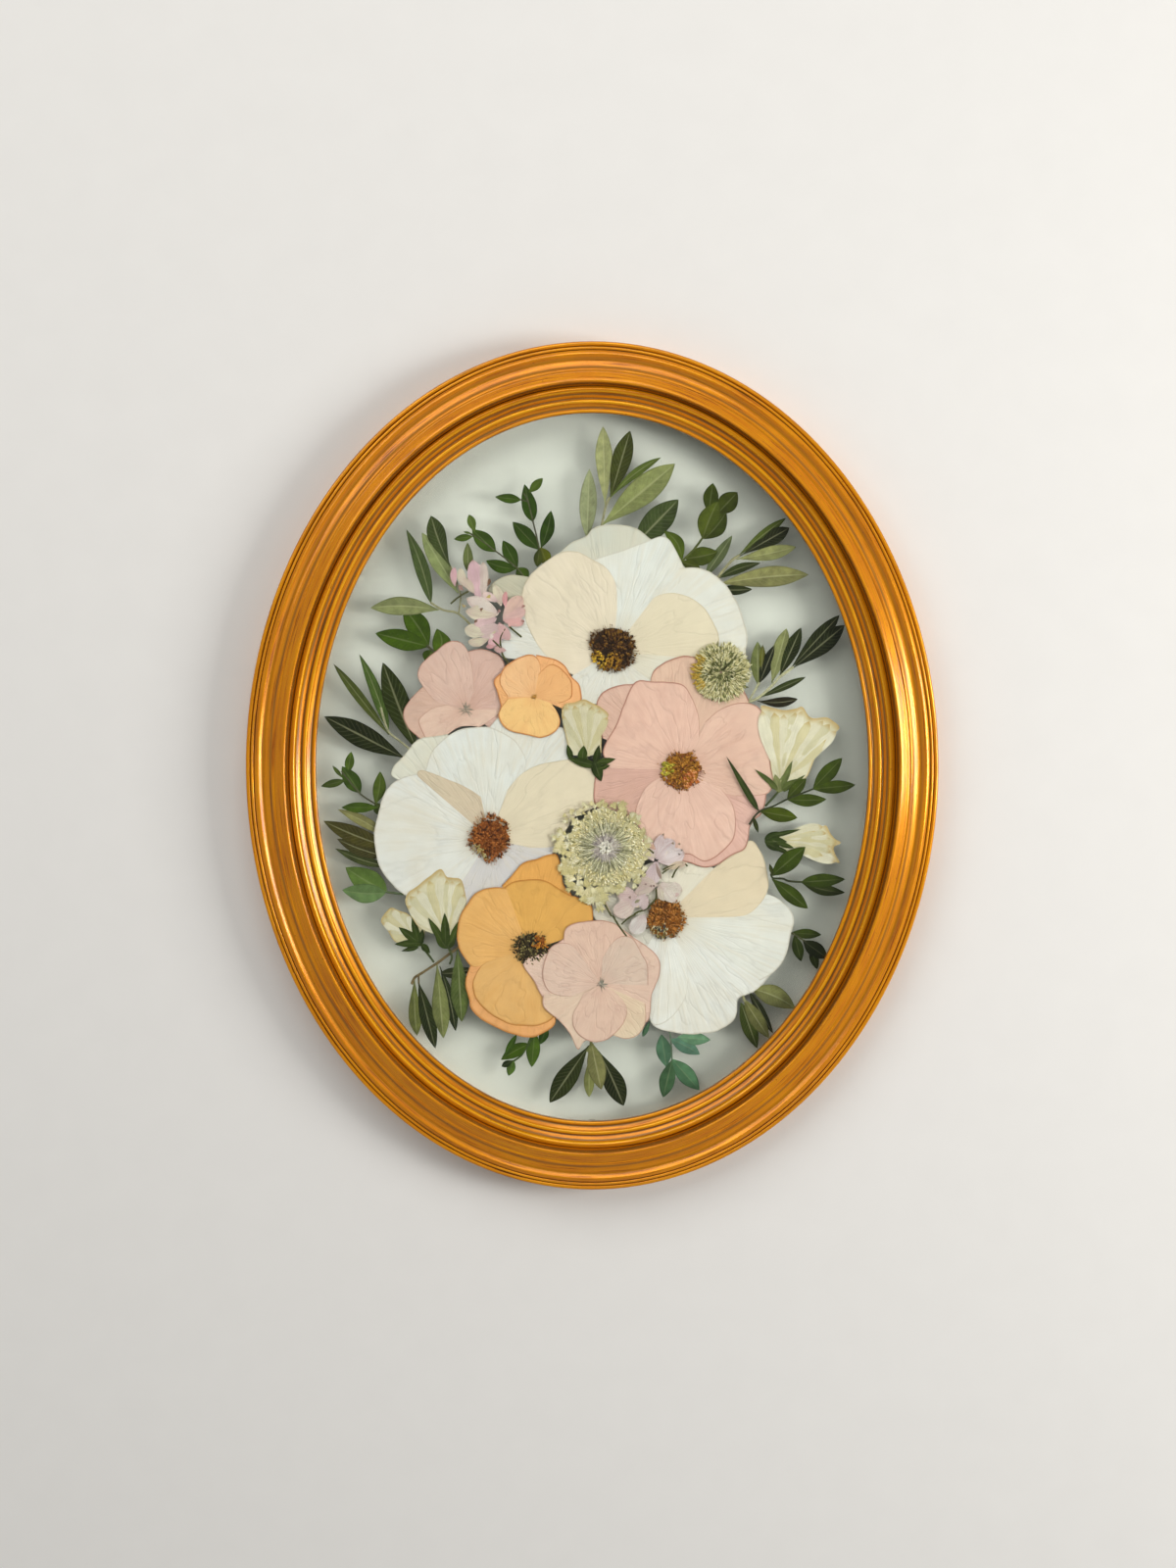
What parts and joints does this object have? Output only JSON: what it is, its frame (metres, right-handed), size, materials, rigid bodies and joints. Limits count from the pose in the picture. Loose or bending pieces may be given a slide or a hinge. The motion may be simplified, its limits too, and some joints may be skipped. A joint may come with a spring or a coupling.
{
  "type": "pressed flower frame",
  "caption": "Oval gilt moulding frame with pressed flowers and leaves held between two panes of clear glass, and a keyhole hanger at the back.",
  "frame": {"origin": "on the surface it lies on, under the middle of the oval", "axes": "it lies on its back: +Z out of the front glass, +Y towards the top of the oval, where the hanger is, +X to the viewer's right"},
  "size_m": [0.3338, 0.41, 0.0245],
  "materials": {
    "gilt_wood": "water gilt over red bole, worn",
    "float_glass": "clear, polished",
    "zinc_plated_steel": "zinc plated",
    "white_petal": "dry, translucent",
    "pink_petal": "dry, veined",
    "apricot_petal": "dry, veined",
    "stamens": "dry",
    "cream_floret": "dry, papery",
    "lilac_floret": "dry, crumpled",
    "olive_leaf": "dry, leathery",
    "myrtle_leaf": "dry",
    "gum_leaf": "dry, bluish"
  },
  "bodies": {
    "root": {"apricot_bloom": "apricot_petal", "back_glass": "float_glass", "bell_flower_left": "cream_floret", "bell_flower_low_left": "cream_floret", "bell_flower_low_right": "cream_floret", "bell_flower_middle": "cream_floret", "bell_flower_right": "cream_floret", "blush_bloom": "pink_petal", "boxwood_sprig_upper_right": "myrtle_leaf", "frame_moulding": "gilt_wood", "front_glass": "float_glass", "glazing_tab_1": "zinc_plated_steel", "glazing_tab_2": "zinc_plated_steel", "glazing_tab_3": "zinc_plated_steel", "glazing_tab_4": "zinc_plated_steel", "glazing_tab_5": "zinc_plated_steel", "glazing_tab_6": "zinc_plated_steel", "gum_sprig_bottom": "gum_leaf", "gum_sprig_left": "gum_leaf", "hanger_plate": "zinc_plated_steel", "hanger_screw_1": "zinc_plated_steel", "hanger_screw_2": "zinc_plated_steel", "larkspur_left": "lilac_floret", "larkspur_right": "lilac_floret", "laurel_sprig_left": "myrtle_leaf", "myrtle_sprig_bottom": "myrtle_leaf", "myrtle_sprig_left": "myrtle_leaf", "myrtle_sprig_low_right": "myrtle_leaf", "myrtle_sprig_lower_right": "myrtle_leaf", "myrtle_sprig_right": "myrtle_leaf", "myrtle_sprig_top": "myrtle_leaf", "myrtle_sprig_upper_left": "myrtle_leaf", "olive_sprig_bottom": "olive_leaf", "olive_sprig_left": "olive_leaf", "olive_sprig_low_left": "olive_leaf", "olive_sprig_lower_left": "olive_leaf", "olive_sprig_lower_right": "olive_leaf", "olive_sprig_right": "olive_leaf", "olive_sprig_top": "olive_leaf", "olive_sprig_upper_left": "olive_leaf", "olive_sprig_upper_right": "olive_leaf", "peach_bloom": "apricot_petal", "pink_bloom_large": "pink_petal", "pink_bloom_small": "pink_petal", "scabious_large": "cream_floret", "scabious_small": "cream_floret", "slender_leaf_right": "myrtle_leaf", "stamens_apricot": "stamens", "stamens_pink": "stamens", "stamens_white_left": "stamens", "stamens_white_right": "stamens", "stamens_white_top": "stamens", "white_bloom_left": "white_petal", "white_bloom_right": "white_petal", "white_bloom_top": "white_petal"}
  },
  "joints": []
}
